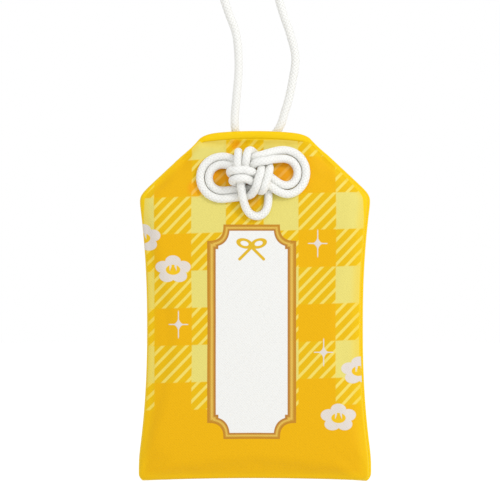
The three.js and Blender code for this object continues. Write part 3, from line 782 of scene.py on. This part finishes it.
# lines run inwards from the label's edge: where each starts, and its colour
label = {
    "middle": -0.71, "height": 32.02, "halfWidth": 9.44, "halfHeight": 22.78, "upright": 1.37,
    "notch": 3.45, "notchPower": 2.8, "notchUpright": 1.36, "step": 0.55, "stepReach": 3.4,
    "rib": 0.55, "ribDepth": 0.25, "ribSoft": 0.12, "lineSoft": 0.16,
    "lines": [(0.0, srgb(199, 138, 40)), (0.5, srgb(206, 156, 54)), (0.75, srgb(229, 188, 84)),
              (1.16, srgb(211, 163, 64)), (1.38, srgb(188, 128, 52)), (1.82, srgb(242, 242, 239))],
}
bow = {
    "middle": -0.72, "height": 50.0, "stroke": 0.31, "soft": 0.1, "gold": srgb(228, 186, 44),
    "loop": {"aside": 1.5, "up": 0.78, "long": 1.34, "short": 0.78, "slim": 1.15, "tilt": 16},
    "tail": {"aside": 2.55, "down": 2.55},
}
blossom = {
    "petal": srgb(228, 219, 210), "heart": srgb(242, 196, 28), "width": 7.9, "height": 6.0,
    "petals": 5, "petalOut": 0.57, "petalRound": 0.43, "petalSoft": 0.05,
    "heartWide": 0.4, "heartTall": 0.36, "heartDown": 0.02, "heartSoft": 0.2,
    "stamenApart": 0.14, "stamenThick": 0.055, "stamenSoft": 0.03, "stamenFrom": -0.08,
    "places": [(-17.5, 45.3), (17.8, 13.8), (-24.0, 52.0), (22.3, 23.7)],
}
sparkle = {
    "tall": 4.2, "wide": 3.0, "pinch": 0.5, "spread": 1.02, "soft": 0.1,
    "ray": {"thick": 0.12, "tall": 2.85, "wide": 2.05, "soft": 0.2},
    "places": [(13.3, 50.8), (-16.4, 33.6), (14.7, 27.7)],
}
paintedShade = {  # painted shade: deeper orange put on the cloth where the ears and creases shade it: across, height, reach, share
    "colour": srgb(252, 150, 20), "fadeAt": 0.7, "fadeSoft": 0.6,
    "places": [(-7.4, 65.4, 3.4, 0.5), (6.3, 66.1, 3.6, 0.55), (-0.3, 59.8, 2.0, 0.3),
               (-4.2, 72.3, 1.6, 0.4), (-12.6, 62.6, 2.4, 0.45)],
}


# A picture is its colour and the raised height of its woven figures. This adds a figure to it.
def lay(n, picture, mask, colour):
    return n.blend(mask, picture[0], colour), n.larger(picture[1], mask)


# White woven field in a ribbed gold strip, its corners notched in rounds with a small step
def addLabel(n, x, h, picture):
    sides = n.minus(n.size(n.minus(x, label["middle"])), label["halfWidth"])
    ends = n.minus(n.size(n.minus(h, label["height"])), label["halfHeight"])
    power = label["notchPower"]
    inside = [n.math("POWER", n.larger(n.times(way, -1.0), 0.0), power) for way in (sides, ends)]
    away = n.math("POWER", n.plus(*inside), 1 / power)
    notch = n.times(n.minus(label["notch"], away), label["notchUpright"])
    beside = n.math("MINIMUM", n.plus(ends, label["stepReach"]), n.plus(sides, label["step"]))
    within = n.larger(sides, n.times(ends, label["upright"]))
    inward = n.times(n.larger(n.larger(within, notch), beside), -1.0)
    colour, raised = picture
    for edge, line in label["lines"]:
        colour = n.blend(n.above(inward, edge, label["lineSoft"]), colour, line)
    ribs = n.math("SINE", n.times(n.plus(x, h), 2 * math.pi / label["rib"]))
    ribs = n.math("MULTIPLY_ADD", ribs, label["ribDepth"], 1 - label["ribDepth"])
    field, soft = label["lines"][-1][0], label["ribSoft"]
    strip = n.times(n.above(inward, 0.0, soft), n.below(inward, field, soft))
    return colour, n.larger(raised, n.times(strip, ribs))


# Small ribbon bow: two tilted loops and two tails in one stroke's width
def addBow(n, x, h, picture):
    dx = n.size(n.minus(x, bow["middle"]))
    dz = n.minus(h, bow["height"])
    loop, tail = bow["loop"], bow["tail"]
    turn = math.radians(loop["tilt"])
    px = n.minus(dx, loop["aside"])
    pz = n.minus(dz, loop["up"])
    along = n.math("MULTIPLY_ADD", px, math.cos(turn) / loop["long"],
                   n.times(pz, math.sin(turn) / loop["long"]))
    over = n.math("MULTIPLY_ADD", pz, math.cos(turn) / loop["short"],
                  n.times(px, -math.sin(turn) / loop["short"]))
    toRing = n.times(n.size(n.minus(n.distance(along, over), 1.0)), loop["short"] * loop["slim"])
    length = math.hypot(tail["aside"], tail["down"])
    share = n.math("MULTIPLY_ADD", dx, tail["aside"], n.times(dz, -tail["down"]))
    share = n.math("DIVIDE", share, length ** 2)
    share = n.math("MINIMUM", n.larger(share, 0.0), 1.0)
    toTail = n.distance(n.math("MULTIPLY_ADD", share, -tail["aside"], dx),
                        n.math("MULTIPLY_ADD", share, tail["down"], dz))
    nearest = n.math("MINIMUM", toRing, toTail)
    return lay(n, picture, n.below(nearest, bow["stroke"], bow["soft"]), bow["gold"])


# Plum blossom of five round petals with a yellow heart and two stamens
def addBlossom(n, x, h, picture, middle, height):
    dx = n.math("DIVIDE", n.minus(x, middle), blossom["width"] / 2)
    dz = n.math("DIVIDE", n.minus(h, height), blossom["height"] / 2)
    nearest = None
    for petal in range(blossom["petals"]):
        angle = math.radians(90 + 360 / blossom["petals"] * petal)
        away = n.distance(n.minus(dx, blossom["petalOut"] * math.cos(angle)),
                          n.minus(dz, blossom["petalOut"] * math.sin(angle)))
        nearest = away if nearest is None else n.math("MINIMUM", nearest, away)
    flower = n.below(nearest, blossom["petalRound"], blossom["petalSoft"])
    colour, raised = lay(n, picture, flower, blossom["petal"])
    oval = n.squares(n.math("DIVIDE", dx, blossom["heartWide"]),
                     n.math("DIVIDE", n.plus(dz, blossom["heartDown"]), blossom["heartTall"]))
    apart = n.size(n.minus(n.size(dx), blossom["stamenApart"]))
    stamen = n.times(n.below(apart, blossom["stamenThick"], blossom["stamenSoft"]),
                     n.above(dz, blossom["stamenFrom"], blossom["petalSoft"]))
    heart = n.times(n.below(oval, 1.0, blossom["heartSoft"]), n.minus(1.0, stamen))
    return n.blend(heart, colour, blossom["heart"]), raised


# Star of four points, drawn out into thin rays
def addSparkle(n, x, h, picture, middle, height):
    aside = n.size(n.minus(x, middle))
    above = n.size(n.minus(h, height))
    shares = [n.math("POWER", n.math("DIVIDE", away, reach / 2), sparkle["pinch"])
              for away, reach in ((aside, sparkle["wide"]), (above, sparkle["tall"]))]
    mask = n.below(n.plus(*shares), sparkle["spread"], sparkle["soft"])
    ray = sparkle["ray"]
    for thin, long, reach in ((aside, above, ray["tall"]), (above, aside, ray["wide"])):
        off = n.larger(n.math("DIVIDE", thin, ray["thick"]), n.math("DIVIDE", long, reach))
        mask = n.larger(mask, n.below(off, 1.0, ray["soft"]))
    return lay(n, picture, mask, blossom["petal"])


# Painted shade: the cloth's colour is blended towards deeper orange round each listed place, where the
# knot's ears and creases shade it
def addPaintedShade(n, x, h, colour):
    for middle, height, reach, share in paintedShade["places"]:
        away = n.distance(n.minus(x, middle), n.minus(h, height))
        mask = n.times(n.below(away, reach * paintedShade["fadeAt"], reach * paintedShade["fadeSoft"]), share)
        colour = n.blend(mask, colour, paintedShade["colour"])
    return colour


# shade and roughness are a factor and what is added to it, bump is a strength and a depth
brocade = {"figureHeight": 1.6, "stripeHeight": 0.6, "bump": (0.35, 0.0001),
           "shade": (0.1, 0.95), "roughness": (0.2, 0.5),
           "finish": {"Sheen Weight": 0.04, "Sheen Roughness": 0.4, "Specular IOR Level": 0.15}}


def brocadeMaterial(name, withFigures):
    material, n, shader = newMaterial(name)
    x, h, _ = n.axes(n.add("ShaderNodeUVMap", uv_map="cloth").outputs[0])
    margin = n.add("ShaderNodeAttribute", attribute_name="margin").outputs["Fac"]
    checked = n.fill(n.add("ShaderNodeGroup", node_tree=checkGroup), {"Across": x, "Height": h}).outputs
    # painted sheen, brighter and yellower towards the cloth's edges
    sheenNearEdge = n.times(n.below(margin, checks["paintedSheenReach"], checks["paintedSheenSoft"]), checks["paintedSheen"])
    colour = n.blend(sheenNearEdge, checked["Colour"], checks["edge"])
    if withFigures:
        # painted shade round the knot's ears and creases
        colour = addPaintedShade(n, x, h, colour)
    # the edge band: plain rolled-edge cloth, partly a painted highlight, widened round the shoulders as a
    # painted highlight
    up = n.math("DIVIDE", n.minus(h, checks["shoulderHighlightHeight"]), checks["cornerReach"])
    shoulderHighlight = n.math("EXPONENT", n.times(n.times(up, up), -1.0))
    inside = n.minus(margin, n.times(shoulderHighlight, checks["shoulderHighlightWide"]))
    colour = n.blend(n.above(inside, checks["edgeWide"], checks["edgeSoft"]), checks["edge"], colour)
    picture = colour, n.times(checked["Stripe"], brocade["stripeHeight"])
    if withFigures:
        for place in blossom["places"]:
            picture = addBlossom(n, x, h, picture, *place)
        for place in sparkle["places"]:
            picture = addSparkle(n, x, h, picture, *place)
        picture = addBow(n, x, h, addLabel(n, x, h, picture))
    colour, raised = picture
    weave = n.add("ShaderNodeGroup", node_tree=weaveGroup)
    woven = n.fill(weave, {"Across": x, "Height": h, "Thread": threads["width"]}).outputs
    shade = n.math("MULTIPLY_ADD", woven["Unevenness"], *brocade["shade"])
    grey = n.fill(n.add("ShaderNodeCombineColor"), {0: shade, 1: shade, 2: shade}).outputs[0]
    n.put(shader.inputs["Base Color"], n.blend(1.0, colour, grey, "MULTIPLY"))
    n.put(shader.inputs["Roughness"], n.math("MULTIPLY_ADD", woven["Unevenness"], *brocade["roughness"]))
    relief = n.math("MULTIPLY_ADD", raised, brocade["figureHeight"], woven["Relief"])
    n.bump(shader, relief, *brocade["bump"])
    n.fill(shader, brocade["finish"])
    return material


# the groove colour is painted shade: the white a little darker in the grooves between the plaits
braid = {
    "plaits": 6.0, "turnsPerMm": 1.25, "white": srgb(250, 250, 246), "grooveShade": srgb(231, 230, 224),
    "ridgeFrom": 0.28, "ridgeSoft": 0.4, "roughness": (-0.12, 0.62), "bump": (0.6, 0.00015),
    "finish": {"Subsurface Weight": 0.15, "Subsurface Radius": (1.0, 1.0, 1.0),
               "Subsurface Scale": 0.001, "Sheen Weight": 0.25, "Sheen Roughness": 0.35,
               "Specular IOR Level": 0.35},
}


def cordMaterial():
    material, n, shader = newMaterial("white_braid")
    along, aroundCord, _ = n.axes(n.add("ShaderNodeUVMap", uv_map="cord").outputs[0])
    turns = n.times(aroundCord, braid["plaits"])
    climb = n.times(along, braid["turnsPerMm"])
    ridges = [n.size(n.math("SINE", n.times(way, math.pi)))
              for way in (n.plus(turns, climb), n.minus(turns, climb))]
    relief = n.math("SQRT", n.times(*ridges))
    ridge = n.above(relief, braid["ridgeFrom"], braid["ridgeSoft"])
    # the grooves between the plaits are painted a little darker, as painted shade
    n.put(shader.inputs["Base Color"], n.blend(ridge, braid["grooveShade"], braid["white"]))
    n.put(shader.inputs["Roughness"], n.math("MULTIPLY_ADD", ridge, *braid["roughness"]))
    n.bump(shader, relief, *braid["bump"])
    n.fill(shader, braid["finish"])
    return material


papers = {
    "backing_paper_fibre": {"colour": srgb(232, 226, 206), "fibre": srgb(214, 205, 180),
                            "roughness": (0.1, 0.85), "nodes": ["front_lining", "back_lining"]},
    "grey_card": {"colour": srgb(206, 196, 172), "fibre": srgb(186, 174, 148),
                  "roughness": (0.1, 0.85), "nodes": ["stiffener_card"]},
    "white_sleeve_paper": {"colour": srgb(244, 242, 236), "fibre": srgb(228, 224, 214),
                           "roughness": (0.1, 0.8), "nodes": ["paper_wrapper"]},
}
# a pattern is its noise's scale and detail, and change is where its colours meet and how softly
pulp = {"mottle": (900.0, 4.0), "change": (0.5, 0.5), "fleck": (4000.0, 2.0), "bump": (0.3, 0.00005)}
slipWood = {"dark": srgb(205, 168, 118), "light": srgb(226, 196, 150), "stretch": (1.0, 1.0, 0.05),
            "grain": (1800.0, 3.0), "change": (0.5, 0.35), "roughness": (0.15, 0.55)}


def paperMaterial(name, paper):
    material, n, shader = newMaterial(name)
    where = n.add("ShaderNodeTexCoord").outputs["Object"]
    mottle = n.above(n.noise(where, *pulp["mottle"]), *pulp["change"])
    fleck = n.noise(where, *pulp["fleck"])
    n.put(shader.inputs["Base Color"], n.blend(mottle, paper["fibre"], paper["colour"]))
    n.put(shader.inputs["Roughness"], n.math("MULTIPLY_ADD", fleck, *paper["roughness"]))
    n.bump(shader, fleck, *pulp["bump"])
    return material


def woodMaterial():
    material, n, shader = newMaterial("bare_slip_wood")
    stretch = n.add("ShaderNodeMapping")
    where = n.add("ShaderNodeTexCoord").outputs["Object"]
    n.fill(stretch, {"Vector": where, "Scale": slipWood["stretch"]})
    grain = n.noise(stretch.outputs[0], *slipWood["grain"])
    light = n.above(grain, *slipWood["change"])
    n.put(shader.inputs["Base Color"], n.blend(light, slipWood["dark"], slipWood["light"]))
    n.put(shader.inputs["Roughness"], n.math("MULTIPLY_ADD", grain, *slipWood["roughness"]))
    return material


def giveMaterial(target, material):
    if target.material_slots:
        for holder in target.material_slots:
            holder.material = material
    else:
        target.data.materials.append(material)


giveMaterial(frontCloth, brocadeMaterial("brocade_front", True))
giveMaterial(backCloth, brocadeMaterial("brocade_back", False))
whiteBraid = cordMaterial()
for piece in [knotPiece, *strands]:
    giveMaterial(piece, whiteBraid)
for name, paper in papers.items():
    paperLook = paperMaterial(name, paper)
    for node in paper["nodes"]:
        giveMaterial(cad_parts[node], paperLook)
giveMaterial(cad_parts["prayer_tablet"], woodMaterial())
print("materials made")


studio = {
    "worldLight": 0.83, "ground": 45.0, "groundWide": 1.5, "groundLift": 0.3,
    "groundFinish": {"Base Color": (0.9, 0.9, 0.9, 1.0), "Roughness": 0.9, "Specular IOR Level": 0.0},
    "key": {"place": (0.32, -0.42, 0.22), "aim": (0.0, 0.0, -0.07), "size": 0.16, "power": 0.9},
}


def makeWorld():
    world = bpy.data.worlds.new("studio")
    bpy.context.scene.world = world
    world.use_nodes = True
    world.node_tree.nodes.clear()
    n = Nodes(world.node_tree)
    white = (1.0, 1.0, 1.0, 1.0)
    lit = n.fill(n.add("ShaderNodeBackground"), {"Color": white, "Strength": studio["worldLight"]})
    seen = n.fill(n.add("ShaderNodeBackground"), {"Color": white, "Strength": 1.0})
    rays = n.add("ShaderNodeLightPath").outputs
    shows = n.larger(n.larger(rays["Is Camera Ray"], rays["Is Transmission Ray"]), rays["Is Glossy Ray"])
    mix = n.fill(n.add("ShaderNodeMixShader"), {0: shows, 1: lit.outputs[0], 2: seen.outputs[0]})
    n.put(n.add("ShaderNodeOutputWorld").inputs[0], mix.outputs[0])


# A pale round ground. What the camera sees of it is lifted to white and keeps the charm's shadow.
def makeGround():
    shape = bmesh.new()
    bmesh.ops.create_circle(shape, cap_ends=True, segments=96, radius=studio["groundWide"])
    bmesh.ops.translate(shape, verts=shape.verts, vec=toFrame([0.0, 0.0, -studio["ground"]]))
    mesh = bpy.data.meshes.new("ground")
    shape.to_mesh(mesh)
    shape.free()
    ground = addObject("ground", mesh)
    material, n, shader = newMaterial("pale_ground")
    n.fill(shader, studio["groundFinish"])
    seen = n.add("ShaderNodeLightPath").outputs["Is Camera Ray"]
    lift = n.fill(n.add("ShaderNodeEmission"), {"Strength": n.times(seen, studio["groundLift"])})
    both = n.fill(n.add("ShaderNodeAddShader"), {0: shader.outputs[0], 1: lift.outputs[0]})
    n.put(material.node_tree.nodes["Material Output"].inputs["Surface"], both.outputs[0])
    giveMaterial(ground, material)


def makeKeyLight():
    key = studio["key"]
    data = bpy.data.lights.new("key", "AREA")
    data.shape = "DISK"
    data.size = key["size"]
    data.energy = key["power"]
    light = addObject("key", data)
    light.location = key["place"]
    aim = Vector(key["aim"]) - Vector(key["place"])
    light.rotation_euler = aim.to_track_quat("-Z", "Y").to_euler()


makeWorld()
makeGround()
makeKeyLight()
bpy.context.scene.view_settings.view_transform = "Standard"
print("studio lit")
